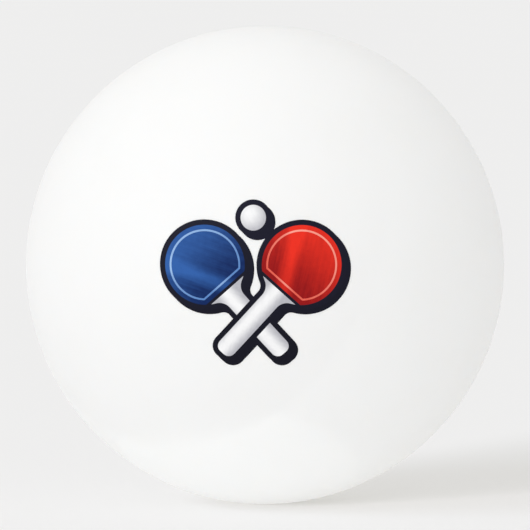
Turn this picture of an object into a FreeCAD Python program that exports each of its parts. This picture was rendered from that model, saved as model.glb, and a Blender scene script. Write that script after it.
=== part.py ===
import FreeCAD, Part
import math
import os

import Sketcher

# A 40 mm table tennis ball, built as it is made: two moulded half shells that plug together on a
# thin locating lip, a ring of solvent cement in the joint, and a badge of two crossed bats and a
# ball, printed on the front half as thin films of ink, one film for each colour.
#
# Frame: the origin is the ball's centre, +Z is up, the printed face looks along -Y, and the joint
# between the two half shells lies in the XZ plane. Lengths are in millimetres, angles in degrees.

DRIVING_SIZES = {
    # the two half shells
    "ball_diameter": 40.0,
    "wall": 0.47,
    "rim_chamfer": 0.05,  # softened outer corner of each rim, which shows as the seam's hairline
    # the locating lip on the back half, which reaches into the front half
    "lip_thickness": 0.35,
    "lip_reach": 1.2,
    "lip_root": 1.0,  # how far the thickened band runs back from the rim
    "lip_taper": 0.8,
    # the cement between the lip and the front half
    "cement_gap": 0.05,
    "bead_length": 0.35,  # how far the bead runs past the lip's free end
    "bead_foot": 0.24,  # how far it climbs over the lip's end face
    "bead_hollow": 0.6,  # radius of its hollow face
    # the printed badge, drawn flat in front of the ball about the point where the bats cross
    "ink_thickness": 0.03,
    "badge_across": -0.94,
    "badge_up": -2.95,
    "bat_lean": 42.0,
    "blade_radius": 3.2,
    "blade_reach": 5.8,  # from the crossing up to the blade's middle
    "handle_reach": 3.75,  # from the crossing down to the handle's end
    "handle_width": 1.56,
    "handle_corner": 0.6,
    "shoulder_radius": 1.1,  # the hollow curve from the blade into the handle
    "rubber_drop": 2.45,  # from the blade's middle down to the rubber's straight edge
    "rubber_gap": 0.24,  # the line between the rubber and the handle
    "keyline": 0.42,  # the dark border round everything
    "block_across": 0.34,  # how far the dark block shows to the right
    "block_down": 0.34,  # and below
    "inline_inset": 0.36,  # from the rubber's edge in to the thin bright line
    "inline_width": 0.15,
    "dot_radius": 1.02,  # the small printed ball between the bats
    "dot_reach": 8.1,  # its middle, straight up from the crossing
}

ORIGIN = -1  # a sketch's origin, and its horizontal axis
UPRIGHT = -2  # a sketch's vertical axis
START, END, CENTRE = 1, 2, 3  # the named points of a line or an arc
UPPER_LEFT, UPPER_RIGHT = 1, -1  # where a bat's blade lies
CLEAR_OF_BALL = 1.0  # how far the flat prisms run on past the ball's front

doc = FreeCAD.newDocument("TableTennisBall")


def make_sheet():
    """Writes the driving sizes into a spreadsheet, one alias each."""
    made = doc.addObject("Spreadsheet::Sheet", "Sizes")
    for row, (alias, value) in enumerate(DRIVING_SIZES.items(), start=1):
        made.set(f"A{row}", alias)
        made.set(f"B{row}", str(value))
        made.setAlias(f"B{row}", alias)
    doc.recompute()
    return made


sheet = make_sheet()


class Size:
    """A size worked out from the sheet: its number now, and the formula that keeps it up to date."""

    def __init__(self, number, formula):
        self.number = number
        self.formula = formula

    def __add__(self, other):
        return Size(self.number + other.number, f"({self.formula} + {other.formula})")

    def __sub__(self, other):
        return Size(self.number - other.number, f"({self.formula} - {other.formula})")

    def half(self):
        return Size(self.number / 2, f"({self.formula} / 2)")

    def twice(self):
        return Size(self.number * 2, f"({self.formula} * 2)")


def size(alias):
    return Size(getattr(sheet, alias), f"Sizes.{alias}")


NOTHING = Size(0.0, "0")
outer_radius = size("ball_diameter").half()
inner_radius = outer_radius - size("wall")
lip_outer_radius = inner_radius - size("cement_gap")
lip_inner_radius = lip_outer_radius - size("lip_thickness")


def bind(thing, **wanted):
    """Makes properties follow sizes. A double underscore in a name stands for a dot."""
    for name, amount in wanted.items():
        thing.setExpression(name.replace("__", "."), amount.formula)
    return thing


def point(x, y):
    return FreeCAD.Vector(x, y, 0)


def round_point(radius, height):
    """The point on the right of a circle about the origin, at that height."""
    return point(math.sqrt(radius.number**2 - height**2), height)


class Outline:
    """A closed outline in a body's own plane, drawn near its place and then held by constraints."""

    def __init__(self, body, plane):
        self.sketch = body.newObject("Sketcher::SketchObject", body.Name + "_Outline")
        planes = [feature for feature in body.Origin.OriginFeatures if feature.Role == plane]
        self.sketch.AttachmentSupport = [(planes[0], "")]
        self.sketch.MapMode = "FlatFace"

    def line(self, start, end):
        return self.sketch.addGeometry(Part.LineSegment(start, end), False)

    def arc(self, centre, start, end):
        """The arc about centre that runs counter-clockwise from start to end."""
        circle = Part.Circle(centre, FreeCAD.Vector(0, 0, 1), (start - centre).Length)
        first = math.atan2(start.y - centre.y, start.x - centre.x)
        last = math.atan2(end.y - centre.y, end.x - centre.x)
        if last <= first:
            last += 2 * math.pi
        return self.sketch.addGeometry(Part.ArcOfCircle(circle, first, last), False)

    def circle(self, centre, radius):
        normal = FreeCAD.Vector(0, 0, 1)
        return self.sketch.addGeometry(Part.Circle(centre, normal, radius.number), False)

    def rule(self, *words):
        return self.sketch.addConstraint(Sketcher.Constraint(*words))

    def measure(self, amount, *words):
        """A dimension that follows a size."""
        index = self.rule(*words, amount.number)
        self.sketch.renameConstraint(index, f"measure_{index}")
        self.sketch.setExpression(f"Constraints.measure_{index}", amount.formula)

    def chain(self, *ends):
        """Joins ends in pairs, each given as geometry and point."""
        for first, second in zip(ends[::2], ends[1::2]):
            self.rule("Coincident", *first, *second)

    def radius(self, amount, arc):
        self.measure(amount, "Radius", arc)

    def about_origin(self, amount, arc):
        """Centres an arc on the origin and gives it a radius."""
        self.rule("Coincident", arc, CENTRE, ORIGIN, START)
        self.radius(amount, arc)

    def on_axis(self, axis, *ends):
        for geometry, end in ends:
            self.rule("PointOnObject", geometry, end, axis)

    def height(self, amount, geometry, end):
        """Holds a point above the origin."""
        self.measure(amount, "DistanceY", ORIGIN, START, geometry, end)

    def depth(self, amount, geometry, end):
        """Holds a point below the origin."""
        self.measure(amount, "DistanceY", geometry, end, ORIGIN, START)

    def right(self, amount, geometry, end):
        self.measure(amount, "DistanceX", ORIGIN, START, geometry, end)

    def left(self, amount, geometry, end):
        self.measure(amount, "DistanceX", geometry, end, ORIGIN, START)

    def done(self):
        doc.recompute()
        if self.sketch.solve() != 0:
            raise ValueError(f"{self.sketch.Name} can't be solved")
        return self.sketch


def new_body(name, label=None):
    body = doc.addObject("PartDesign::Body", name)
    body.Label = label or name
    return body


def turn_about_y(body, sketch):
    turned = body.newObject("PartDesign::Revolution", body.Name + "_Turned")
    turned.Profile = sketch
    turned.ReferenceAxis = (sketch, ["V_Axis"])
    turned.Angle = 360
    doc.recompute()
    return turned


def soften_rim(body, turned):
    """Chamfers the sharp outer corner of a half shell's rim, where the seam shows."""
    once_round = 2 * math.pi * outer_radius.number
    rims = [
        f"Edge{index}"
        for index, edge in enumerate(turned.Shape.Edges, start=1)
        if abs(edge.Length - once_round) < 1e-6
    ]
    chamfer = body.newObject("PartDesign::Chamfer", body.Name + "_Rim")
    chamfer.Base = (turned, rims)
    bind(chamfer, Size=size("rim_chamfer"))
    doc.recompute()


def make_front_half():
    """The printed half: an even shell with a square rim."""
    body = new_body("FrontHalf", "front_half_shell")
    outer, inner = outer_radius.number, inner_radius.number
    o = Outline(body, "XY_Plane")
    outside = o.arc(point(0, 0), point(0, -outer), point(outer, 0))
    rim = o.line(point(outer, 0), point(inner, 0))
    inside = o.arc(point(0, 0), point(0, -inner), point(inner, 0))
    middle = o.line(point(0, -inner), point(0, -outer))
    o.chain((outside, END), (rim, START), (rim, END), (inside, END))
    o.chain((inside, START), (middle, START), (middle, END), (outside, START))
    o.about_origin(outer_radius, outside)
    o.about_origin(inner_radius, inside)
    o.on_axis(ORIGIN, (rim, START), (rim, END))
    o.on_axis(UPRIGHT, (middle, START), (middle, END))
    soften_rim(body, turn_about_y(body, o.done()))
    return body


def make_back_half():
    """The plain half. Its rim carries the lip that reaches into the front half."""
    body = new_body("BackHalf", "back_half_shell")
    outer, inner, lip_outer = outer_radius.number, inner_radius.number, lip_outer_radius.number
    reach, root = size("lip_reach"), size("lip_root")
    taper_end = root + size("lip_taper")
    lip_corner = round_point(lip_outer_radius, -reach.number)
    lip_edge = round_point(lip_inner_radius, -reach.number)
    band_end = round_point(lip_inner_radius, root.number)
    wall_start = round_point(inner_radius, taper_end.number)
    o = Outline(body, "XY_Plane")
    outside = o.arc(point(0, 0), point(outer, 0), point(0, outer))
    rim = o.line(point(outer, 0), point(lip_outer, 0))
    lip_outside = o.arc(point(0, 0), lip_corner, point(lip_outer, 0))
    lip_end = o.line(lip_corner, lip_edge)
    band = o.arc(point(0, 0), lip_edge, band_end)
    taper = o.line(band_end, wall_start)
    inside = o.arc(point(0, 0), wall_start, point(0, inner))
    middle = o.line(point(0, inner), point(0, outer))
    o.chain((outside, START), (rim, START), (rim, END), (lip_outside, END))
    o.chain((lip_outside, START), (lip_end, START), (lip_end, END), (band, START))
    o.chain((band, END), (taper, START), (taper, END), (inside, START))
    o.chain((inside, END), (middle, START), (middle, END), (outside, END))
    o.about_origin(outer_radius, outside)
    o.about_origin(lip_outer_radius, lip_outside)
    o.about_origin(lip_inner_radius, band)
    o.about_origin(inner_radius, inside)
    o.on_axis(ORIGIN, (rim, START), (rim, END))
    o.on_axis(UPRIGHT, (middle, START), (middle, END))
    o.depth(reach, lip_end, START)
    o.depth(reach, lip_end, END)
    o.height(root, taper, START)
    o.height(taper_end, taper, END)
    soften_rim(body, turn_about_y(body, o.done()))
    return body


def make_cement():
    """The ring of solvent cement: a film outside the lip, and a hollow-faced bead past its end."""
    body = new_body("Cement", "seam_cement")
    reach, foot_length = size("lip_reach"), size("bead_foot")
    toe_depth = reach + size("bead_length")
    lip_corner = round_point(lip_outer_radius, -reach.number)
    foot = lip_corner - point(foot_length.number, 0)
    toe = round_point(inner_radius, -toe_depth.number)
    # The bead's face is an arc from toe to foot about a centre on the ball's side of them.
    chord = foot - toe
    inward = point(-chord.y, chord.x).normalize()
    set_back = math.sqrt(size("bead_hollow").number ** 2 - (chord.Length / 2) ** 2)
    face_centre = toe + chord * 0.5 + inward * set_back
    o = Outline(body, "XY_Plane")
    rim = o.line(point(lip_outer_radius.number, 0), point(inner_radius.number, 0))
    outside = o.arc(point(0, 0), toe, point(inner_radius.number, 0))
    face = o.arc(face_centre, toe, foot)
    lip_end = o.line(foot, lip_corner)
    lip_side = o.arc(point(0, 0), lip_corner, point(lip_outer_radius.number, 0))
    o.chain((rim, END), (outside, END), (outside, START), (face, START))
    o.chain((face, END), (lip_end, START), (lip_end, END), (lip_side, START))
    o.chain((lip_side, END), (rim, START))
    o.about_origin(inner_radius, outside)
    o.about_origin(lip_outer_radius, lip_side)
    o.on_axis(ORIGIN, (rim, START), (rim, END))
    o.rule("Horizontal", lip_end)
    o.depth(reach, lip_end, END)
    o.measure(foot_length, "DistanceX", lip_end, START, lip_end, END)
    o.depth(toe_depth, face, START)
    o.radius(size("bead_hollow"), face)
    turn_about_y(body, o.done())
    return body


def draw_bat(o, grow):
    """A bat's outline about the crossing, its blade straight up, grown all round."""
    blade = size("blade_radius") + grow
    side = size("handle_width").half() + grow
    low = size("handle_reach") + grow
    hollow = size("shoulder_radius") - grow
    corner = size("handle_corner") + grow
    reach = size("blade_reach")
    across = side.number + hollow.number
    up = reach.number - math.sqrt((blade.number + hollow.number) ** 2 - across**2)
    blade_middle = point(0, reach.number)
    right_hollow, left_hollow = point(across, up), point(-across, up)
    right_meet = blade_middle + (right_hollow - blade_middle).normalize() * blade.number
    left_meet = point(-right_meet.x, right_meet.y)
    s, c, bottom_y = side.number, corner.number, -low.number
    edge = o.arc(blade_middle, right_meet, left_meet)
    left_shoulder = o.arc(left_hollow, point(-s, up), left_meet)
    left_side = o.line(point(-s, up), point(-s, bottom_y + c))
    left_corner = o.arc(
        point(c - s, bottom_y + c), point(-s, bottom_y + c), point(c - s, bottom_y)
    )
    bottom = o.line(point(c - s, bottom_y), point(s - c, bottom_y))
    right_corner = o.arc(
        point(s - c, bottom_y + c), point(s - c, bottom_y), point(s, bottom_y + c)
    )
    right_side = o.line(point(s, bottom_y + c), point(s, up))
    right_shoulder = o.arc(right_hollow, right_meet, point(s, up))
    o.rule("Tangent", edge, END, left_shoulder, END)
    o.rule("Tangent", left_shoulder, START, left_side, START)
    o.rule("Tangent", left_side, END, left_corner, START)
    o.rule("Tangent", left_corner, END, bottom, START)
    o.rule("Tangent", bottom, END, right_corner, START)
    o.rule("Tangent", right_corner, END, right_side, START)
    o.rule("Tangent", right_side, END, right_shoulder, END)
    o.rule("Tangent", right_shoulder, START, edge, START)
    o.rule("Vertical", left_side)
    o.rule("Vertical", right_side)
    o.on_axis(UPRIGHT, (edge, CENTRE))
    o.height(reach, edge, CENTRE)
    o.radius(blade, edge)
    o.radius(hollow, left_shoulder)
    o.radius(hollow, right_shoulder)
    o.radius(corner, left_corner)
    o.radius(corner, right_corner)
    o.left(side, left_side, START)
    o.right(side, right_side, START)
    o.depth(low, bottom, START)


def draw_disc(o, up, radius):
    """A circle straight up from the crossing."""
    disc = o.circle(point(0, up.number), radius)
    o.on_axis(UPRIGHT, (disc, CENTRE))
    o.height(up, disc, CENTRE)
    o.radius(radius, disc)


def draw_sheet(o, level, upward):
    """A wide rectangle that starts at a level above the crossing and runs up or down past a bat."""
    span = size("ball_diameter").half()
    half = span.number
    far = level + span if upward else level - span
    low_y, high_y = sorted((level.number, far.number))
    bottom = o.line(point(-half, low_y), point(half, low_y))
    right_side = o.line(point(half, low_y), point(half, high_y))
    top = o.line(point(half, high_y), point(-half, high_y))
    left_side = o.line(point(-half, high_y), point(-half, low_y))
    o.chain((bottom, END), (right_side, START), (right_side, END), (top, START))
    o.chain((top, END), (left_side, START), (left_side, END), (bottom, START))
    o.rule("Horizontal", bottom)
    o.rule("Horizontal", top)
    o.rule("Vertical", left_side)
    o.rule("Vertical", right_side)
    o.left(span, left_side, START)
    o.right(span, right_side, START)
    o.height(level, *((bottom, START) if upward else (top, START)))
    o.measure(span, "DistanceY", right_side, START, right_side, END)


def prism(name, draw, *details, lean=0, shifted=False):
    """A flat outline about the crossing, run from the ball's middle plane out past its front.
    A leaning prism turns about the crossing, and a shifted one is the dark block's copy."""
    body = new_body(name)
    o = Outline(body, "XZ_Plane")
    draw(o, *details)
    pad = body.newObject("PartDesign::Pad", name + "_Run")
    pad.Profile = o.done()
    bind(pad, Length=outer_radius + Size(CLEAR_OF_BALL, str(CLEAR_OF_BALL)))
    across, up = size("badge_across"), size("badge_up")
    if shifted:
        across, up = across + size("block_across"), up - size("block_down")
    if lean:
        lean_axis = FreeCAD.Vector(0, -lean, 0)
        body.Placement.Rotation = FreeCAD.Rotation(lean_axis, size("bat_lean").number)
        bind(body, Placement__Rotation__Angle=size("bat_lean"))
    bind(body, Placement__Base__x=across, Placement__Base__z=up)
    doc.recompute()
    return body


def fuse(name, *shapes):
    whole = doc.addObject("Part::MultiFuse", name)
    whole.Shapes = list(shapes)
    whole.Refine = True
    return whole


def common(name, *shapes):
    shared = doc.addObject("Part::MultiCommon", name)
    shared.Shapes = list(shapes)
    shared.Refine = True
    return shared


def cut(name, base, tool):
    rest = doc.addObject("Part::Cut", name)
    rest.Base = base
    rest.Tool = tool
    rest.Refine = True
    return rest


def make_film_space():
    """The thin spherical space that ink can fill, just outside the ball."""
    inside = bind(doc.addObject("Part::Sphere", "BallSurface"), Radius=outer_radius)
    outside = doc.addObject("Part::Sphere", "InkSurface")
    bind(outside, Radius=outer_radius + size("ink_thickness"))
    return cut("FilmSpace", outside, inside)


def print_film(label, film_space, flat):
    """Lays a flat prism's outline on the ball as a film of ink."""
    film = common("Film_" + label, flat, film_space)
    film.Label = label
    return film


def make_bat(name, lean):
    """The flat prisms of one printed bat: its border, rubber, handle and bright line."""
    keyline = size("keyline")
    reach = size("blade_reach")
    rubber_level = reach - size("rubber_drop")
    handle_level = rubber_level - size("rubber_gap")
    line_inset = size("inline_inset")
    line_end = line_inset + size("inline_width")
    blade = size("blade_radius")
    face = prism(name + "Face", draw_bat, NOTHING, lean=lean)
    above = prism(name + "Above", draw_sheet, rubber_level, True, lean=lean)
    below = prism(name + "Below", draw_sheet, handle_level, False, lean=lean)
    rings = []
    for ring, inset in (("Outer", line_inset), ("Inner", line_end)):
        disc = prism(name + ring + "Disc", draw_disc, reach, blade - inset, lean=lean)
        inset_level = rubber_level + inset
        bounds = prism(name + ring + "Level", draw_sheet, inset_level, True, lean=lean)
        rings.append(common(name + ring + "Shape", disc, bounds))
    return {
        "border": prism(name + "Border", draw_bat, keyline, lean=lean),
        "block": prism(name + "Block", draw_bat, keyline, lean=lean, shifted=True),
        "rubber": common(name + "Rubber", face, above),
        "handle": common(name + "Handle", face, below),
        "line": cut(name + "Line", *rings),
    }


def make_inks():
    """The printed badge, one film of ink for each colour, side by side on the ball."""
    film_space = make_film_space()
    back_bat = make_bat("BackBat", UPPER_LEFT)
    front_bat = make_bat("FrontBat", UPPER_RIGHT)
    dot_middle, dot_radius, keyline = size("dot_reach"), size("dot_radius"), size("keyline")
    dot = prism("Dot", draw_disc, dot_middle, dot_radius)
    dot_border = prism("DotBorder", draw_disc, dot_middle, dot_radius + keyline)
    dot_block = prism("DotBlock", draw_disc, dot_middle, dot_radius + keyline, shifted=True)
    # The front bat's border covers whatever of the back bat lies under it.
    for piece in ("rubber", "handle", "line"):
        back_bat[piece] = cut("Shown" + piece.title(), back_bat[piece], front_bat["border"])
    dark = fuse(
        "DarkShape",
        back_bat["border"],
        back_bat["block"],
        front_bat["border"],
        front_bat["block"],
        dot_border,
        dot_block,
    )
    light = fuse(
        "LightShape",
        back_bat["rubber"],
        back_bat["handle"],
        front_bat["rubber"],
        front_bat["handle"],
        dot,
    )
    silver = fuse("SilverShape", back_bat["handle"], front_bat["handle"], dot)
    blue = cut("BlueShape", back_bat["rubber"], back_bat["line"])
    red = cut("RedShape", front_bat["rubber"], front_bat["line"])
    flats = {
        "ink_navy_keyline": cut("NavyShape", dark, light),
        "ink_blue_rubber": blue,
        "ink_light_blue_line": back_bat["line"],
        "ink_red_rubber": red,
        "ink_light_red_line": front_bat["line"],
        "ink_silver_handles": silver,
    }
    doc.recompute()
    return [print_film(label, film_space, flat) for label, flat in flats.items()]


def check_document():
    """Stops if any object of the document failed to build."""
    failed = [
        thing.Name
        for thing in doc.Objects
        if "Invalid" in thing.State or "Error" in thing.State
    ]
    if failed:
        raise ValueError(f"these objects failed: {failed}")


def check_shape(thing):
    """Stops unless a sub-part is made of sound, closed solids."""
    shape = thing.Shape
    if shape.isNull() or not shape.isValid() or not shape.Solids or shape.Volume <= 0:
        raise ValueError(f"{thing.Label} has no sound solid")


def main():
    sub_parts = [make_front_half(), make_back_half(), make_cement(), *make_inks()]
    doc.recompute()
    check_document()
    os.makedirs("parts", exist_ok=True)
    for thing in sub_parts:
        check_shape(thing)
    for thing in sub_parts:
        thing.Shape.exportStep(os.path.join("parts", thing.Label + ".step"))
        solids = len(thing.Shape.Solids)
        print(f"{thing.Label}: {solids} solid(s), {thing.Shape.Volume:.3f} mm3")


main()
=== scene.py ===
import math

import bmesh
import bpy
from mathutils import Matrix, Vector
from mathutils.geometry import delaunay_2d_cdt


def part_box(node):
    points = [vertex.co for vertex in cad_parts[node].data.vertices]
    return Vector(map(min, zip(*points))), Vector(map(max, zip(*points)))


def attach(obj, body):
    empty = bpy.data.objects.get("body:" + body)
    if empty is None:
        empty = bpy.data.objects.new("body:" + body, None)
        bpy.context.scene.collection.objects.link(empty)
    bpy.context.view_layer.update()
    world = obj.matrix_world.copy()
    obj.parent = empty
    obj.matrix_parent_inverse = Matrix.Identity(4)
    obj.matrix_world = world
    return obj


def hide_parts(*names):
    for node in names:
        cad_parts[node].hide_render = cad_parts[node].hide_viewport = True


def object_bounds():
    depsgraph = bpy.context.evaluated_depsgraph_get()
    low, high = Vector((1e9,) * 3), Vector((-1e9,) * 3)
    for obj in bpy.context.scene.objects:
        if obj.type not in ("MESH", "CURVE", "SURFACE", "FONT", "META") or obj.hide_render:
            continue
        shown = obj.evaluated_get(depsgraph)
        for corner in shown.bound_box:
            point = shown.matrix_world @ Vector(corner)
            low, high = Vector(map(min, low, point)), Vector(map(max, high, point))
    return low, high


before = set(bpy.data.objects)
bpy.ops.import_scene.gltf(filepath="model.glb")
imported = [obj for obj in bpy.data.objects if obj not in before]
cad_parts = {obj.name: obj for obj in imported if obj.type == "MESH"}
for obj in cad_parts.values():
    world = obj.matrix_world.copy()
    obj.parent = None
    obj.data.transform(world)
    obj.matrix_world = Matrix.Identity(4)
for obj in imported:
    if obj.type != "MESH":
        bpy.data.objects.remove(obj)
cad_low, cad_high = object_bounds()

# A table tennis ball: two half shells that plug together, the cement in their joint, and a badge
# of crossed bats printed on the front half in six inks. The frame's origin is the ball's centre,
# +Z is up, the badge faces -Y and the seam lies in the XZ plane. Lengths are in metres, apart from
# the badge's artwork, which is drawn in millimetres about the point where its bats cross.

MM = 0.001

# ---- the shells and the cement: the first four sizes come from the solids themselves ----
BALL_RADIUS = min(-cad_low.x, cad_high.x, cad_high.y, -cad_low.z, cad_high.z)
INNER_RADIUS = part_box("seam_cement")[1].x
LIP_REACH = -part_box("back_half_shell")[0].y
BEAD_REACH = -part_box("seam_cement")[0].y
CEMENT_GAP = 0.05 * MM
LIP_THICKNESS = 0.35 * MM
LIP_ROOT = 1.0 * MM
LIP_TAPER = 0.8 * MM
BEAD_FOOT = 0.24 * MM
BEAD_HOLLOW = 0.6 * MM
RIM_ROUNDING = 0.05 * MM
LIP_ROUNDING = 0.04 * MM

LIP_OUTER_RADIUS = INNER_RADIUS - CEMENT_GAP
LIP_INNER_RADIUS = LIP_OUTER_RADIUS - LIP_THICKNESS

# ---- the mesh of a half shell: a square patch over its pole, and loops from there to its rim ----
PATCH = 72  # squares along each side of the patch
SIDE_LOOPS = PATCH // 2
RIM_CLEARANCE = RIM_ROUNDING * 2  # from the seam to the nearest loop
ROUNDING_STEPS = 4
LIP_STEPS = 6
BAND_STEPS = 10
TAPER_STEPS = 6
BEAD_STEPS = 8
SHARP_ANGLE = math.radians(35)

# ---- the badge's artwork, in millimetres about the crossing ----
BADGE_ACROSS = -0.94
BADGE_UP = -2.95
BAT_LEAN = 42.0
BLADE_RADIUS = 3.2
BLADE_REACH = 5.8
HANDLE_REACH = 3.75
HANDLE_HALF = 0.78
HANDLE_CORNER = 0.6
SHOULDER_RADIUS = 1.1
RUBBER_DROP = 2.45  # from the blade's centre to the rubber's straight edge
HANDLE_GAP = 0.24
RUBBER_LEVEL = BLADE_REACH - RUBBER_DROP
HANDLE_LEVEL = RUBBER_LEVEL - HANDLE_GAP
KEYLINE = 0.42
BLOCK_SHIFT = (0.34, -0.34)
LINE_INSET = 0.36
LINE_WIDTH = 0.15
DOT_RADIUS = 1.02
DOT_REACH = 8.1
INK_THICKNESS = 0.03
INK_EDGE_THICKNESS = 0.014  # where the badge ends on the bare ball
OUTLINE_STEP = 0.12  # between the points of an outline
FILL_STEP = 0.26  # between the points inside it
FILL_CLEARANCE = 0.1  # from a point inside to the nearest outline
CUT_TOLERANCE = 1e-5  # below which two points of the artwork are one


def rgb(code):
    """The linear colour of a hexadecimal code."""
    shares = [int(code[i : i + 2], 16) / 255 for i in (0, 2, 4)]
    linear = [s / 12.92 if s <= 0.04045 else ((s + 0.055) / 1.055) ** 2.4 for s in shares]
    return (*linear, 1.0)


# =============================== meshes ===============================


def make_object(name, points, faces):
    """A closed mesh with its faces turned outwards, smooth apart from its sharp edges."""
    mesh = bpy.data.meshes.new(name)
    mesh.from_pydata(points, [], faces)
    shape = bmesh.new()
    shape.from_mesh(mesh)
    bmesh.ops.recalc_face_normals(shape, faces=shape.faces)
    shape.to_mesh(mesh)
    shape.free()
    mesh.shade_smooth()
    mesh.set_sharp_from_angle(angle=SHARP_ANGLE)
    made = bpy.data.objects.new(name, mesh)
    bpy.context.scene.collection.objects.link(made)
    return made


def spread(step):
    """Where a step along a patch's side lies, from -1 to 1, so that equal steps look equal."""
    return math.tan((2 * step / PATCH - 1) * math.pi / 4)


def patch_edge():
    """The steps of the points round a patch's edge, in order."""
    run = range(PATCH)
    return (
        [(i, 0) for i in run]
        + [(PATCH, i) for i in run]
        + [(PATCH - i, PATCH) for i in run]
        + [(0, PATCH - i) for i in run]
    )


EDGE = [(spread(i), spread(k)) for i, k in patch_edge()]


class Skin:
    """A closed skin, laid loop after loop. Every loop has one point for each point of EDGE."""

    def __init__(self):
        self.points = []
        self.faces = []
        self.last = None

    def loop(self, points):
        """Adds a loop and bridges it to the one before."""
        first = len(self.points)
        self.points += points
        new = list(range(first, first + len(points)))
        self.bridge(new)

    def bridge(self, new):
        if self.last:
            count = len(new)
            for i in range(count):
                j = (i + 1) % count
                self.faces.append((self.last[i], self.last[j], new[j], new[i]))
        self.last = new

    def patch(self, radius, side):
        """Adds the square patch over a pole, -1 for the front and 1 for the back."""
        first, row = len(self.points), PATCH + 1
        for i in range(row):
            for k in range(row):
                away = Vector((spread(i), side, spread(k)))
                self.points.append(away.normalized() * radius)
        for i in range(PATCH):
            for k in range(PATCH):
                corner = first + i * row + k
                self.faces.append((corner, corner + 1, corner + row + 1, corner + row))
        self.bridge([first + i * row + k for i, k in patch_edge()])

    def ring(self, radius, height):
        """Adds a plain circle about the Y axis."""
        ring = []
        for across, up in EDGE:
            turn = math.atan2(up, across)
            ring.append(Vector((radius * math.cos(turn), height, radius * math.sin(turn))))
        self.loop(ring)


def side_loops(radius, side, past):
    """The loops between a patch and the seam, as far as they all stay past a distance from it."""
    loops = []
    for step in range(1, SIDE_LOOPS):
        slope = math.tan(math.pi / 4 * (1 - step / SIDE_LOOPS))
        nearest = radius * slope / math.sqrt(2 + slope**2)
        if nearest > past:
            ways = [Vector((across, side * slope, up)) for across, up in EDGE]
            loops.append([way.normalized() * radius for way in ways])
    return loops


def on_sphere(radius, height):
    """The radius of the circle at that height on a sphere."""
    return math.sqrt(radius**2 - height**2)


def rounding(radius, height, size, start):
    """Profile points round a corner's arc, a quarter turn from start, in quarter turns."""
    points = []
    for step in range(ROUNDING_STEPS + 1):
        turn = (start + step / ROUNDING_STEPS) * math.pi / 2
        points.append((radius + size * math.cos(turn), height + size * math.sin(turn)))
    return points


def between(first, last, steps):
    """Evenly spaced numbers from first to last."""
    return [first + (last - first) * step / steps for step in range(steps + 1)]


def make_front_shell():
    """An even shell. Its rim's outer corner is rounded, which makes half of the seam's hairline."""
    skin = Skin()
    corner = BALL_RADIUS - RIM_ROUNDING
    skin.patch(BALL_RADIUS, -1)
    for loop in side_loops(BALL_RADIUS, -1, RIM_CLEARANCE):
        skin.loop(loop)
    for radius, height in rounding(corner, -RIM_ROUNDING, RIM_ROUNDING, 0):
        skin.ring(radius, height)
    skin.ring(INNER_RADIUS, 0)
    for loop in reversed(side_loops(INNER_RADIUS, -1, RIM_CLEARANCE)):
        skin.loop(loop)
    skin.patch(INNER_RADIUS, -1)
    return make_object("front_shell", skin.points, skin.faces)


def lip_profile():
    """From the back shell's rim, out along the lip and back along its band to the even wall."""
    end_outer = on_sphere(LIP_OUTER_RADIUS, LIP_REACH) - LIP_ROUNDING
    end_inner = on_sphere(LIP_INNER_RADIUS, LIP_REACH) + LIP_ROUNDING
    end_height = LIP_ROUNDING - LIP_REACH
    outer_face = between(0, end_height, LIP_STEPS)[:-1]
    profile = [(on_sphere(LIP_OUTER_RADIUS, h), h) for h in outer_face]
    outer_corner = rounding(end_outer, end_height, LIP_ROUNDING, 3)
    profile += reversed(outer_corner)
    inner_corner = rounding(end_inner, end_height, LIP_ROUNDING, 2)
    profile += reversed(inner_corner)
    inner_face = between(end_height, LIP_ROOT, BAND_STEPS)[1:]
    profile += [(on_sphere(LIP_INNER_RADIUS, h), h) for h in inner_face]
    for share in between(0, 1, TAPER_STEPS)[1:]:
        height = LIP_ROOT + LIP_TAPER * share
        eased = share * share * (3 - 2 * share)
        low = on_sphere(LIP_INNER_RADIUS, height)
        high = on_sphere(INNER_RADIUS, height)
        profile.append((low + (high - low) * eased, height))
    return profile


def make_back_shell():
    """The plain half, with the lip that plugs into the front half."""
    skin = Skin()
    corner = BALL_RADIUS - RIM_ROUNDING
    skin.patch(BALL_RADIUS, 1)
    for loop in side_loops(BALL_RADIUS, 1, RIM_CLEARANCE):
        skin.loop(loop)
    rim = [(radius, -height) for radius, height in rounding(corner, -RIM_ROUNDING, RIM_ROUNDING, 0)]
    for radius, height in rim + lip_profile():
        skin.ring(radius, height)
    for loop in reversed(side_loops(INNER_RADIUS, 1, LIP_ROOT + LIP_TAPER)):
        skin.loop(loop)
    skin.patch(INNER_RADIUS, 1)
    return make_object("back_shell", skin.points, skin.faces)


def make_cement_ring():
    """The film of cement round the lip, and the hollow-faced bead past the lip's end."""
    foot = Vector((on_sphere(LIP_OUTER_RADIUS, LIP_REACH) - BEAD_FOOT, -LIP_REACH))
    toe = Vector((on_sphere(INNER_RADIUS, BEAD_REACH), -BEAD_REACH))
    chord = toe - foot
    inward = Vector((chord.y, -chord.x)).normalized()
    face_centre = (toe + foot) / 2 + inward * math.sqrt(BEAD_HOLLOW**2 - chord.length_squared / 4)
    start = math.atan2(foot.y - face_centre.y, foot.x - face_centre.x)
    end = math.atan2(toe.y - face_centre.y, toe.x - face_centre.x)
    profile = [(on_sphere(LIP_OUTER_RADIUS, h), h) for h in between(0, -LIP_REACH, LIP_STEPS)]
    for turn in between(start, end, BEAD_STEPS):
        away = Vector((math.cos(turn), math.sin(turn))) * BEAD_HOLLOW
        profile.append(tuple(face_centre + away))
    wall_side = between(-BEAD_REACH, 0, BEAD_STEPS)[1:]
    profile += [(on_sphere(INNER_RADIUS, h), h) for h in wall_side]
    skin = Skin()
    for radius, height in profile:
        skin.ring(radius, height)
    skin.bridge(list(range(len(EDGE))))
    return make_object("cement_ring", skin.points, skin.faces)


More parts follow.
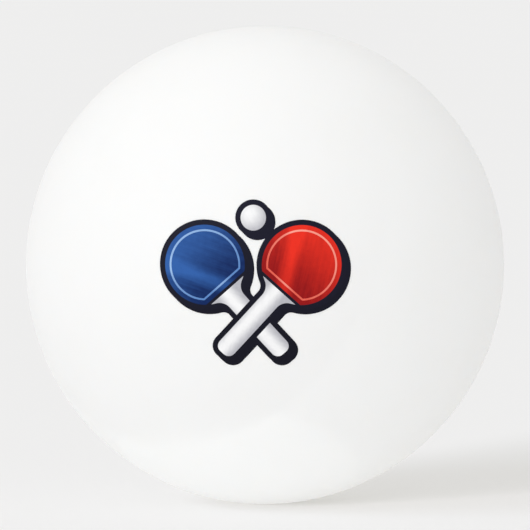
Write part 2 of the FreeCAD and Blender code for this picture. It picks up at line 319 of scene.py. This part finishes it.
# =============================== the badge ===============================


def arc(centre, radius, start, end):
    """Points along an arc from start to end, in degrees, without its last point."""
    sweep = math.radians(end - start)
    steps = max(2, math.ceil(abs(sweep) * radius / OUTLINE_STEP))
    turns = [math.radians(start) + sweep * step / steps for step in range(steps)]
    return [(centre[0] + radius * math.cos(t), centre[1] + radius * math.sin(t)) for t in turns]


def filled_in(corners):
    """An outline with more points wherever two lie far apart."""
    outline = []
    for i, (x, y) in enumerate(corners):
        next_x, next_y = corners[(i + 1) % len(corners)]
        steps = max(1, round(math.hypot(next_x - x, next_y - y) / OUTLINE_STEP))
        for step in range(steps):
            share = step / steps
            outline.append((x + (next_x - x) * share, y + (next_y - y) * share))
    return outline


def bat_outline(grow):
    """A bat with its blade straight up, grown all round."""
    blade, side, low = BLADE_RADIUS + grow, HANDLE_HALF + grow, -HANDLE_REACH - grow
    hollow, corner = SHOULDER_RADIUS - grow, HANDLE_CORNER + grow
    across = side + hollow
    up = BLADE_REACH - math.sqrt((blade + hollow) ** 2 - across**2)
    lean = math.degrees(math.atan2(BLADE_REACH - up, across))
    return filled_in(
        arc((0, BLADE_REACH), blade, -lean, 180 + lean)
        + arc((-across, up), hollow, lean, 0)
        + [(-side, up)]
        + arc((corner - side, low + corner), corner, 180, 270)
        + arc((side - corner, low + corner), corner, 270, 360)
        + [(side, low + corner)]
        + arc((across, up), hollow, 180, 180 - lean)
    )


def disc_outline(up, radius):
    return arc((0, up), radius, 0, 360)


def cut_disc_outline(radius, level):
    """The part of the blade's disc above a level."""
    below = BLADE_REACH - level
    drop = math.degrees(math.asin(below / radius))
    left_end = (-math.sqrt(radius**2 - below**2), level)
    return filled_in([*arc((0, BLADE_REACH), radius, -drop, 180 + drop), left_end])


def inside_bat(x, y, grow):
    """Whether a point of a bat's own frame lies on the bat."""
    blade, side, low = BLADE_RADIUS + grow, HANDLE_HALF + grow, -HANDLE_REACH - grow
    hollow, corner = SHOULDER_RADIUS - grow, HANDLE_CORNER + grow
    if math.hypot(x, y - BLADE_REACH) < blade:
        return True
    across = side + hollow
    up = BLADE_REACH - math.sqrt((blade + hollow) ** 2 - across**2)
    from_middle = abs(x)
    if up <= y <= BLADE_REACH:
        in_neck = from_middle / across < (BLADE_REACH - y) / (BLADE_REACH - up)
        return in_neck and math.hypot(from_middle - across, y - up) > hollow
    if low + corner <= y < up:
        return from_middle < side
    if low < y < low + corner:
        past_corner = max(0.0, from_middle - (side - corner))
        return math.hypot(past_corner, y - low - corner) < corner
    return False


def inside_cut_disc(x, y, inset):
    return y > RUBBER_LEVEL + inset and math.hypot(x, y - BLADE_REACH) < BLADE_RADIUS - inset


def lean_point(x, y, lean):
    """From a leaning bat's own frame to the badge's. lean is 1 for upper left, -1 for upper right."""
    turn = math.radians(BAT_LEAN * lean)
    return x * math.cos(turn) - y * math.sin(turn), x * math.sin(turn) + y * math.cos(turn)


BACK_BAT, FRONT_BAT = 1, -1


def badge_outlines():
    """Every edge between two colours, as closed outlines in the badge's frame."""
    border, face = bat_outline(KEYLINE), bat_outline(0)
    inner = LINE_INSET + LINE_WIDTH
    rings = [
        cut_disc_outline(BLADE_RADIUS - inset, RUBBER_LEVEL + inset) for inset in (LINE_INSET, inner)
    ]
    wide = BLADE_RADIUS + KEYLINE / 2
    gap = filled_in(
        [(-wide, HANDLE_LEVEL), (wide, HANDLE_LEVEL), (wide, RUBBER_LEVEL), (-wide, RUBBER_LEVEL)]
    )
    outlines = []
    for lean in (BACK_BAT, FRONT_BAT):
        for outline in (border, face, gap, *rings):
            outlines.append([lean_point(x, y, lean) for x, y in outline])
    outlines.append(disc_outline(DOT_REACH, DOT_RADIUS))
    dot_border = disc_outline(DOT_REACH, DOT_RADIUS + KEYLINE)
    outlines.append(dot_border)
    leaning_borders = [[lean_point(x, y, lean) for x, y in border] for lean in (BACK_BAT, FRONT_BAT)]
    for outline in (*leaning_borders, dot_border):
        outlines.append([(x + BLOCK_SHIFT[0], y + BLOCK_SHIFT[1]) for x, y in outline])
    return outlines


def on_border(x, y):
    """Whether a point lies within either bat's or the dot's dark border."""
    if math.hypot(x, y - DOT_REACH) < DOT_RADIUS + KEYLINE:
        return True
    return any(inside_bat(*lean_point(x, y, -lean), KEYLINE) for lean in (BACK_BAT, FRONT_BAT))


def bat_colour(x, y, colours):
    """The colour of a point in a bat's own frame, or None where the bat isn't."""
    rubber_ink, line_ink = colours
    if not inside_bat(x, y, KEYLINE):
        return None
    if not inside_bat(x, y, 0) or HANDLE_LEVEL < y < RUBBER_LEVEL:
        return "navy"
    if y < HANDLE_LEVEL:
        return "silver"
    on_line = inside_cut_disc(x, y, LINE_INSET) and not inside_cut_disc(
        x, y, LINE_INSET + LINE_WIDTH
    )
    return line_ink if on_line else rubber_ink


def badge_colour(x, y):
    """The ink at a point of the badge and the bat it belongs to, or None for the bare ball."""
    if math.hypot(x, y - DOT_REACH) < DOT_RADIUS:
        return "silver", 0
    for lean, colours in ((FRONT_BAT, ("red", "light_red")), (BACK_BAT, ("blue", "light_blue"))):
        ink = bat_colour(*lean_point(x, y, -lean), colours)
        if ink:
            return ink, lean
    if on_border(x, y) or on_border(x - BLOCK_SHIFT[0], y - BLOCK_SHIFT[1]):
        return "navy", 0
    return None


def fill_points(outlines):
    """Points in rows over the whole badge, clear of every outline, so that the ink can curve."""
    taken = {}
    for outline in outlines:
        for x, y in outline:
            taken.setdefault((round(x / FILL_STEP), round(y / FILL_STEP)), []).append((x, y))
    xs = [x for outline in outlines for x, y in outline]
    ys = [y for outline in outlines for x, y in outline]
    row_step = FILL_STEP * math.sqrt(3) / 2
    points = []
    for row in range(math.ceil((max(ys) - min(ys)) / row_step)):
        y = min(ys) + row * row_step
        for column in range(math.ceil((max(xs) - min(xs)) / FILL_STEP)):
            x = min(xs) + (column + row % 2 / 2) * FILL_STEP
            cell_x, cell_y = round(x / FILL_STEP), round(y / FILL_STEP)
            near = [
                point
                for i in (-1, 0, 1)
                for k in (-1, 0, 1)
                for point in taken.get((cell_x + i, cell_y + k), [])
            ]
            if all(math.hypot(x - px, y - py) > FILL_CLEARANCE for px, py in near):
                points.append((x, y))
    return points


def sides(triangle):
    a, b, c = triangle
    return (a, b), (b, c), (c, a)


def open_edges(triangles):
    """The sides that no neighbour shares, in order."""
    edges = {edge: None for triangle in triangles for edge in sides(triangle)}
    return [(a, b) for a, b in edges if (b, a) not in edges]


def badge_triangles():
    """The badge cut into triangles along every outline, sorted by ink, and its outer edge."""
    outlines = badge_outlines()
    points = []
    edges = []
    for outline in outlines:
        first, count = len(points), len(outline)
        points += outline
        edges += [(first + i, first + (i + 1) % count) for i in range(count)]
    points += fill_points(outlines)
    flat = [Vector(point) for point in points]
    placed, _, triangles, *_ = delaunay_2d_cdt(flat, edges, [], 0, CUT_TOLERANCE)
    by_ink = {}
    inked = []
    for triangle in triangles:
        middle = sum((placed[i] for i in triangle), Vector((0, 0))) / 3
        found = badge_colour(middle.x, middle.y)
        if found:
            ink, lean = found
            by_ink.setdefault(ink, []).append((triangle, lean))
            inked.append(triangle)
    badge_edge = {i for edge in open_edges(inked) for i in edge}
    return placed, badge_edge, by_ink


def on_ball(point, height):
    """A point of the artwork laid straight back onto the ball, that far above its surface."""
    x = (BADGE_ACROSS + point.x) * MM
    z = (BADGE_UP + point.y) * MM
    radius = BALL_RADIUS + height * MM
    return Vector((x, -math.sqrt(radius**2 - x**2 - z**2), z))


def make_film(name, placed, badge_edge, triangles):
    """A closed film of ink. Its artwork map holds each point's place in its own bat's frame."""
    used = sorted({i for triangle, _ in triangles for i in triangle})
    count = len(used)
    index = {old: new for new, old in enumerate(used)}
    tops = [tuple(index[i] for i in triangle) for triangle, _ in triangles]
    rim = open_edges(tops)
    heights = [INK_EDGE_THICKNESS if old in badge_edge else INK_THICKNESS for old in used]
    points = [on_ball(placed[old], height) for old, height in zip(used, heights)]
    points += [on_ball(placed[old], 0) for old in used]
    bottoms = [(c + count, b + count, a + count) for a, b, c in tops]
    walls = [(b, a, a + count, b + count) for a, b in rim]
    made = make_object(name, points, tops + bottoms + walls)
    leans = [lean for _, lean in triangles]
    lean_at = {edge: lean for top, lean in zip(tops, leans) for edge in sides(top)}
    leans += leans + [lean_at[edge] for edge in rim]
    artwork = made.data.uv_layers.new(name="artwork")
    for polygon, lean in zip(made.data.polygons, leans):
        for corner in polygon.loop_indices:
            place = placed[used[made.data.loops[corner].vertex_index % count]]
            artwork.uv[corner].vector = lean_point(place.x, place.y, -lean)
    return made


# =============================== materials ===============================

# ---- the seam's ground band: fully ground out to the first distance, untouched past the second ----
GROUND_FULLY = 0.35 * MM
GROUND_END = 1.1 * MM
GROUND_LINE_STRETCH = 0.06
GROUND_LINES_PER_METRE = 14000.0
GROUND_LINE_HEIGHT = 0.4
GROUND_SHADE = 0.35
GROUND_SMOOTHING = 0.1

# ---- how deep each surface's grain is ----
PLASTIC_GRAIN_DEPTH = 0.0035 * MM
CEMENT_GRAIN_DEPTH = 0.004 * MM
INK_GRAIN_DEPTH = 0.0015 * MM

# ---- the printed shading, in the artwork's millimetres; shades run from 0, lit, to 1, shaded ----
SHEEN_SLANT = 0.55  # how far the sheen leans over for each step up
SHEEN_OFFSET = 1.1  # how far left of the blade's centre it passes
SHEEN_PLACE = BLADE_REACH * SHEEN_SLANT - SHEEN_OFFSET
SHEEN_HALF = 1.15
SHEEN_STRENGTH = 0.62
STREAKS_PER_MM = 3.2
STREAK_STRETCH = 0.09
BLADE_TOP_SHADE = 0.2
BORDER_SHADES = (0.2, 0.8)
HANDLE_GLINT_ACROSS = -0.22
HANDLE_FADE = (0.05, 1.0)
DOT_GLINT = (-0.3, DOT_REACH + 0.32)
DOT_FADE = (0.1, 1.6)
DOT_LEVEL = DOT_REACH - DOT_RADIUS * 1.2  # below it the silver is a handle, above it the dot

# ---- what noise is spread about, and the middle of the mottling, where most of it lies ----
NOISE_MEAN = 0.5
MOTTLE_MIDDLE = (0.3, 0.7)

# ---- how the nodes are set out ----
NODE_WIDTH = 220
NODE_HEIGHT = 320
NODES_PER_ROW = 8


class Nodes:
    """Adds nodes to a tree and wires them, each input given as a value or another node's output."""

    def __init__(self, tree):
        self.tree = tree
        self.places = 0

    def new(self, kind):
        """A node set out in rows with the others."""
        node = self.tree.nodes.new(kind)
        row, column = divmod(self.places, NODES_PER_ROW)
        node.location = (NODE_WIDTH * column, -NODE_HEIGHT * row)
        self.places += 1
        return node

    def add(self, kind, settings=None, **inputs):
        node = self.new(kind)
        for name, value in (settings or {}).items():
            setattr(node, name, value)
        for name, value in inputs.items():
            self.feed(node, name.replace("_", " "), value)
        return node

    def feed(self, node, name, value):
        self.wire(next(s for s in node.inputs if s.name == name and s.enabled), value)

    def wire(self, socket, value):
        if isinstance(value, bpy.types.NodeSocket):
            self.tree.links.new(value, socket)
        else:
            socket.default_value = value

    def math(self, operation, first, second=0.0, clamp=False):
        node = self.new("ShaderNodeMath")
        node.operation = operation
        node.use_clamp = clamp
        for socket, value in zip(node.inputs, (first, second)):
            self.wire(socket, value)
        return node.outputs[0]

    def mix(self, share, first, second):
        node = self.add("ShaderNodeMix", {"data_type": "RGBA"}, Factor=share, A=first, B=second)
        return next(socket for socket in node.outputs if socket.enabled)

    def noise(self, vector, scale, detail, roughness=0.5):
        node = self.add(
            "ShaderNodeTexNoise", Vector=vector, Scale=scale, Detail=detail, Roughness=roughness
        )
        return node.outputs[0]

    def ease(self, value, low, high, to_low=0.0, to_high=1.0):
        """Eases value from one range to another, smoothly at both ends."""
        node = self.add(
            "ShaderNodeMapRange",
            {"interpolation_type": "SMOOTHSTEP"},
            Value=value,
            From_Min=low,
            From_Max=high,
            To_Min=to_low,
            To_Max=to_high,
        )
        return node.outputs[0]


def make_group(name, inputs, outputs):
    """An empty shader node group with named sockets."""
    tree = bpy.data.node_groups.new(name, "ShaderNodeTree")
    for socket, (kind, value) in inputs.items():
        made = tree.interface.new_socket(socket, in_out="INPUT", socket_type=kind)
        if value is not None:
            made.default_value = value
    for socket, kind in outputs.items():
        tree.interface.new_socket(socket, in_out="OUTPUT", socket_type=kind)
    nodes = Nodes(tree)
    return tree, nodes, nodes.add("NodeGroupInput").outputs, nodes.add("NodeGroupOutput")


def make_tumbled_grain():
    """The fine matte grain of a tumbled surface, and the soft mottling of its tone."""
    tree, nodes, given, result = make_group(
        "Tumbled grain",
        {
            "Vector": ("NodeSocketVector", None),
            "Grains per metre": ("NodeSocketFloat", 6000.0),
            "Patches per metre": ("NodeSocketFloat", 180.0),
        },
        {"Height": "NodeSocketFloat", "Mottle": "NodeSocketFloat"},
    )
    place = given["Vector"]
    grain = nodes.noise(place, given["Grains per metre"], detail=3.0, roughness=0.6)
    mottle = nodes.noise(place, given["Patches per metre"], detail=4.0, roughness=0.55)
    nodes.feed(result, "Height", grain)
    nodes.feed(result, "Mottle", mottle)
    return tree


def make_shaded_tone():
    """A colour between a lit and a shaded tone, varied a little by the mottling."""
    tree, nodes, given, result = make_group(
        "Shaded tone",
        {
            "Lit": ("NodeSocketColor", (1, 1, 1, 1)),
            "Shaded": ("NodeSocketColor", (0, 0, 0, 1)),
            "Shade": ("NodeSocketFloat", 0.0),
            "Mottle": ("NodeSocketFloat", 0.5),
            "Variation": ("NodeSocketFloat", 0.1),
        },
        {"Colour": "NodeSocketColor"},
    )
    centred = nodes.math("SUBTRACT", given["Mottle"], NOISE_MEAN)
    varied = nodes.math("MULTIPLY", centred, given["Variation"])
    share = nodes.math("ADD", given["Shade"], varied, clamp=True)
    nodes.feed(result, "Colour", nodes.mix(share, given["Lit"], given["Shaded"]))
    return tree


def make_brushed_streaks():
    """Fine streaks along the artwork's slanting sheen, about nought, and the place across it."""
    tree, nodes, given, result = make_group(
        "Brushed streaks",
        {"Artwork": ("NodeSocketVector", None), "Strength": ("NodeSocketFloat", 0.5)},
        {"Slant": "NodeSocketFloat", "Streaks": "NodeSocketFloat"},
    )
    spot = nodes.add("ShaderNodeSeparateXYZ", Vector=given["Artwork"]).outputs
    slant = nodes.math("ADD", spot["X"], nodes.math("MULTIPLY", spot["Y"], SHEEN_SLANT))
    along = nodes.math("MULTIPLY", spot["Y"], STREAK_STRETCH)
    place = nodes.add("ShaderNodeCombineXYZ", X=slant, Y=along)
    noise = nodes.noise(place.outputs[0], STREAKS_PER_MM, detail=3.0, roughness=0.6)
    centred = nodes.math("SUBTRACT", noise, NOISE_MEAN)
    nodes.feed(result, "Slant", slant)
    nodes.feed(result, "Streaks", nodes.math("MULTIPLY", centred, given["Strength"]))
    return tree


def make_blade_shade():
    """A blade's shade: lit towards its top, with a glancing sheen that sweeps across it."""
    tree, nodes, given, result = make_group(
        "Blade shade",
        {
            "Up": ("NodeSocketFloat", 0.0),
            "Slant": ("NodeSocketFloat", 0.0),
            "Streaks": ("NodeSocketFloat", 0.0),
        },
        {"Shade": "NodeSocketFloat"},
    )
    blade_top = BLADE_REACH + BLADE_RADIUS
    fall = nodes.ease(given["Up"], blade_top, RUBBER_LEVEL, BLADE_TOP_SHADE, 1.0)
    offset = nodes.math("ABSOLUTE", nodes.math("SUBTRACT", given["Slant"], SHEEN_PLACE))
    sheen = nodes.ease(offset, 0.0, SHEEN_HALF, SHEEN_STRENGTH, 0.0)
    streaked = nodes.math("ADD", fall, given["Streaks"])
    nodes.feed(result, "Shade", nodes.math("SUBTRACT", streaked, sheen, clamp=True))
    return tree


TUMBLED_GRAIN = make_tumbled_grain()
SHADED_TONE = make_shaded_tone()
BRUSHED_STREAKS = make_brushed_streaks()
BLADE_SHADE = make_blade_shade()


def start_material(name):
    material = bpy.data.materials.new(name)
    material.use_nodes = True
    material.node_tree.nodes.clear()
    nodes = Nodes(material.node_tree)
    shader = nodes.add("ShaderNodeBsdfPrincipled")
    output = nodes.add("ShaderNodeOutputMaterial")
    nodes.feed(output, "Surface", shader.outputs[0])
    return material, nodes, shader


def add_group(nodes, tree, **inputs):
    node = nodes.add("ShaderNodeGroup", {"node_tree": tree}, **inputs)
    return node.outputs


def add_bump(nodes, shader, height, distance):
    bump = nodes.add("ShaderNodeBump", Strength=1.0, Distance=distance, Height=height)
    nodes.feed(shader, "Normal", bump.outputs[0])


def mottled_roughness(nodes, grain, low, high):
    """Roughness that follows the mottling, over the middle of its range."""
    return nodes.ease(grain["Mottle"], *MOTTLE_MIDDLE, low, high)


def make_white_plastic():
    """Matte white plastic, a little translucent, finely tumbled, and ground smoother at the seam."""
    material, nodes, shader = start_material("matte_white_plastic")
    place = nodes.add("ShaderNodeTexCoord").outputs["Object"]
    grain = add_group(
        nodes, TUMBLED_GRAIN, Vector=place, Grains_per_metre=9000.0, Patches_per_metre=160.0
    )
    along = nodes.add("ShaderNodeSeparateXYZ", Vector=place).outputs["Y"]
    from_seam = nodes.math("ABSOLUTE", along)
    ground = nodes.ease(from_seam, GROUND_FULLY, GROUND_END, 1.0, 0.0)
    stretch = (GROUND_LINE_STRETCH, 1.0, GROUND_LINE_STRETCH)
    drawn_out = nodes.add("ShaderNodeMapping", Vector=place, Scale=stretch).outputs[0]
    lines = nodes.noise(drawn_out, GROUND_LINES_PER_METRE, detail=2.0)
    line_depth = nodes.math("MULTIPLY", ground, GROUND_LINE_HEIGHT)
    line_height = nodes.math("MULTIPLY", lines, line_depth)
    height = nodes.math("ADD", grain["Height"], line_height)
    tone = add_group(
        nodes,
        SHADED_TONE,
        Lit=rgb("fbfbfa"),
        Shaded=rgb("f3f2ee"),
        Shade=nodes.math("MULTIPLY", ground, GROUND_SHADE),
        Mottle=grain["Mottle"],
        Variation=0.9,
    )
    smoother = nodes.math("MULTIPLY", ground, -GROUND_SMOOTHING)
    rough = mottled_roughness(nodes, grain, 0.5, 0.58)
    nodes.feed(shader, "Base Color", tone["Colour"])
    nodes.feed(shader, "Roughness", nodes.math("ADD", rough, smoother))
    nodes.feed(shader, "IOR", 1.5)
    nodes.feed(shader, "Subsurface Weight", 0.3)
    nodes.feed(shader, "Subsurface Radius", (1.0, 0.92, 0.84))
    nodes.feed(shader, "Subsurface Scale", 0.5 * MM)
    add_bump(nodes, shader, height, PLASTIC_GRAIN_DEPTH)
    return material


def make_cement():
    """Dried solvent cement: clearer and glossier than the shell it joins, with fine bubbles."""
    material, nodes, shader = start_material("dried_cement")
    place = nodes.add("ShaderNodeTexCoord").outputs["Object"]
    grain = add_group(
        nodes, TUMBLED_GRAIN, Vector=place, Grains_per_metre=2500.0, Patches_per_metre=700.0
    )
    tone = add_group(
        nodes,
        SHADED_TONE,
        Lit=rgb("f1efe8"),
        Shaded=rgb("ddd8c8"),
        Shade=0.3,
        Mottle=grain["Mottle"],
        Variation=1.4,
    )
    nodes.feed(shader, "Base Color", tone["Colour"])
    nodes.feed(shader, "Roughness", mottled_roughness(nodes, grain, 0.18, 0.34))
    nodes.feed(shader, "Subsurface Weight", 0.4)
    nodes.feed(shader, "Subsurface Scale", 0.5 * MM)
    add_bump(nodes, shader, grain["Height"], CEMENT_GRAIN_DEPTH)
    return material


def make_ink(name, lit, shaded, shading, streak_strength):
    """A printed ink. shading works out the artwork's own shade, from 0, lit, to 1, shaded."""
    material, nodes, shader = start_material(name)
    place = nodes.add("ShaderNodeTexCoord").outputs["Object"]
    artwork = nodes.add("ShaderNodeUVMap", {"uv_map": "artwork"}).outputs[0]
    streaks = add_group(nodes, BRUSHED_STREAKS, Artwork=artwork, Strength=streak_strength)
    grain = add_group(
        nodes, TUMBLED_GRAIN, Vector=place, Grains_per_metre=7000.0, Patches_per_metre=2600.0
    )
    tone = add_group(
        nodes,
        SHADED_TONE,
        Lit=rgb(lit),
        Shaded=rgb(shaded),
        Shade=shading(nodes, artwork, streaks),
        Mottle=grain["Mottle"],
        Variation=0.25,
    )
    nodes.feed(shader, "Base Color", tone["Colour"])
    nodes.feed(shader, "Roughness", mottled_roughness(nodes, grain, 0.36, 0.46))
    nodes.feed(shader, "Specular IOR Level", 0.12)
    add_bump(nodes, shader, grain["Height"], INK_GRAIN_DEPTH)
    return material


def blade_shading(nodes, artwork, streaks):
    up = nodes.add("ShaderNodeSeparateXYZ", Vector=artwork).outputs["Y"]
    shade = add_group(
        nodes, BLADE_SHADE, Up=up, Slant=streaks["Slant"], Streaks=streaks["Streaks"]
    )
    return shade["Shade"]


def handle_shading(nodes, artwork, streaks):
    """Round across the handle, and round on the small ball, lit from the upper left."""
    across, up, _ = nodes.add("ShaderNodeSeparateXYZ", Vector=artwork).outputs
    from_light = nodes.math("ABSOLUTE", nodes.math("SUBTRACT", across, HANDLE_GLINT_ACROSS))
    handle = nodes.ease(from_light, *HANDLE_FADE)
    from_glint = nodes.add(
        "ShaderNodeCombineXYZ",
        X=nodes.math("SUBTRACT", across, DOT_GLINT[0]),
        Y=nodes.math("SUBTRACT", up, DOT_GLINT[1]),
    ).outputs[0]
    length = nodes.add("ShaderNodeVectorMath", {"operation": "LENGTH"}, Vector=from_glint)
    dot = nodes.ease(length.outputs["Value"], *DOT_FADE)
    is_dot = nodes.math("GREATER_THAN", up, DOT_LEVEL)
    on_dot = nodes.math("MULTIPLY", dot, is_dot)
    on_handle = nodes.math("MULTIPLY", handle, nodes.math("SUBTRACT", 1.0, is_dot))
    rounded = nodes.math("ADD", on_dot, on_handle)
    return nodes.math("ADD", rounded, streaks["Streaks"], clamp=True)


def border_shading(nodes, artwork, streaks):
    """A little lighter towards the badge's top."""
    up = nodes.add("ShaderNodeSeparateXYZ", Vector=artwork).outputs["Y"]
    fall = nodes.ease(up, DOT_REACH, -HANDLE_REACH, *BORDER_SHADES)
    return nodes.math("ADD", fall, streaks["Streaks"], clamp=True)


# Each ink's solid, slot, lit and shaded colours, shading, and how strong its streaks are.
INKS = {
    "navy": ("ink_navy_keyline", "navy_ink", "161629", "0b0b18", border_shading, 0.3),
    "blue": ("ink_blue_rubber", "blue_ink", "2f60aa", "04245c", blade_shading, 0.5),
    "light_blue": (
        "ink_light_blue_line", "light_blue_ink", "9fc2ec", "5c88c6", blade_shading, 0.3
    ),
    "red": ("ink_red_rubber", "red_ink", "f0301f", "940d10", blade_shading, 0.5),
    "light_red": ("ink_light_red_line", "light_red_ink", "ffa595", "e8614f", blade_shading, 0.3),
    "silver": ("ink_silver_handles", "silver_ink", "fafafb", "b9b9c0", handle_shading, 0.3),
}


# =============================== the ball ===============================


def put_in_place(piece, node, material):
    """Gives a piece its finish and lets it stand for its solid."""
    piece.data.materials.append(material)
    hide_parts(node)
    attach(piece, "root")
    return piece


def make_ball():
    white = make_white_plastic()
    pieces = [
        put_in_place(make_front_shell(), "front_half_shell", white),
        put_in_place(make_back_shell(), "back_half_shell", white),
        put_in_place(make_cement_ring(), "seam_cement", make_cement()),
    ]
    placed, badge_edge, by_ink = badge_triangles()
    for ink, (node, slot, *finish) in INKS.items():
        film = make_film(ink + "_print", placed, badge_edge, by_ink[ink])
        pieces.append(put_in_place(film, node, make_ink(slot, *finish)))
    return pieces


# =============================== floor, light and camera ===============================

FLOOR_HALF = 3.0
FLOOR_GREY = 0.5
FLOOR_VARIATION = 0.005
FLOOR_PATCHES_PER_METRE = 30.0
# The floor's glow is painted light: an even emission that lifts the floor and keeps the shadows on it
# faint.
FLOOR_GLOW = 0.347
FLOOR_GLOW_TINT = (1.0, 0.982, 0.938, 1.0)
SURROUND = 0.75
SURROUND_TINT = (1.0, 0.996, 0.987, 1.0)
# Each lamp's name, what it lights, its strength and tint, and its degrees left of the camera, rise
# and softness. The ball and the floor have lamps of their own.
LAMPS = (
    ("ball_key", "ball", 0.565, (0.985, 1.0, 1.025), 35.0, 18.0, 55.0),
    ("ball_top", "ball", 0.47, (1.0, 1.0, 1.0), 50.0, 70.0, 120.0),
    ("ball_fill", "ball", 0.36, (0.965, 1.02, 1.01), 15.0, -60.0, 120.0),
    ("floor_key", "floor", 4.9, (0.995, 0.98, 1.045), 42.0, 6.0, 12.0),
    ("floor_soft", "floor", 1.05, (0.9, 1.0, 1.16), 60.0, 22.0, 30.0),
)
CAMERA_ELEVATION = 4.0
CAMERA_DISTANCE = 0.45
CAMERA_LENS = 365.0
CAMERA_NEAR = 0.01
CAMERA_FAR = 20.0


def make_floor():
    """A wide pale floor with a faint painted glow, which lifts it evenly and keeps its shadows faint.
    """
    level = cad_low.z
    corners = [(x, y, level) for x, y in ((-1, -1), (1, -1), (1, 1), (-1, 1))]
    points = [(x * FLOOR_HALF, y * FLOOR_HALF, z) for x, y, z in corners]
    mesh = bpy.data.meshes.new("floor")
    mesh.from_pydata(points, [], [(0, 1, 2, 3)])
    floor = bpy.data.objects.new("floor", mesh)
    bpy.context.scene.collection.objects.link(floor)
    material, nodes, shader = start_material("pale_floor")
    place = nodes.add("ShaderNodeTexCoord").outputs["Object"]
    mottle = nodes.noise(place, FLOOR_PATCHES_PER_METRE, detail=3.0)
    shares = (1 + FLOOR_VARIATION, 1 - FLOOR_VARIATION)
    tones = [(FLOOR_GREY * share,) * 3 + (1.0,) for share in shares]
    nodes.feed(shader, "Base Color", nodes.mix(mottle, *tones))
    nodes.feed(shader, "Roughness", 1.0)
    nodes.feed(shader, "Specular IOR Level", 0.0)
    nodes.feed(shader, "Emission Color", FLOOR_GLOW_TINT)
    nodes.feed(shader, "Emission Strength", FLOOR_GLOW)
    mesh.materials.append(material)
    return floor


def make_lights(lit):
    """An even white surround and soft lamps. The floor doesn't block the one that shines up."""
    world = bpy.data.worlds.new("studio")
    world.use_nodes = True
    background = world.node_tree.nodes["Background"]
    background.inputs["Color"].default_value = SURROUND_TINT
    background.inputs["Strength"].default_value = SURROUND
    bpy.context.scene.world = world
    for name, target, strength, tint, from_left, rise, softness in LAMPS:
        light = bpy.data.lights.new(name, "SUN")
        light.energy = strength
        light.color = tint
        light.angle = math.radians(softness)
        lamp = bpy.data.objects.new(name, light)
        side, up = math.radians(from_left), math.radians(rise)
        level = math.cos(up)
        towards = Vector((-math.sin(side) * level, -math.cos(side) * level, math.sin(up)))
        lamp.rotation_euler = towards.to_track_quat("Z", "Y").to_euler()
        lamp.location = towards
        receivers = bpy.data.collections.new(name + "_receivers")
        for piece in lit[target]:
            receivers.objects.link(piece)
        lamp.light_linking.receiver_collection = receivers
        if rise < 0:
            lamp.light_linking.blocker_collection = receivers
        bpy.context.scene.collection.objects.link(lamp)


def make_camera():
    """A long lens, a little above the ball and square to its badge."""
    lens = bpy.data.cameras.new("camera")
    lens.lens = CAMERA_LENS
    lens.clip_start = CAMERA_NEAR
    lens.clip_end = CAMERA_FAR
    camera = bpy.data.objects.new("camera", lens)
    rise = math.radians(CAMERA_ELEVATION)
    back = Vector((0.0, -math.cos(rise), math.sin(rise)))
    camera.location = back * CAMERA_DISTANCE
    camera.rotation_euler = back.to_track_quat("Z", "Y").to_euler()
    bpy.context.scene.collection.objects.link(camera)
    bpy.context.scene.camera = camera


make_lights({"ball": make_ball(), "floor": [make_floor()]})
make_camera()
bpy.context.scene.view_settings.view_transform = "Standard"
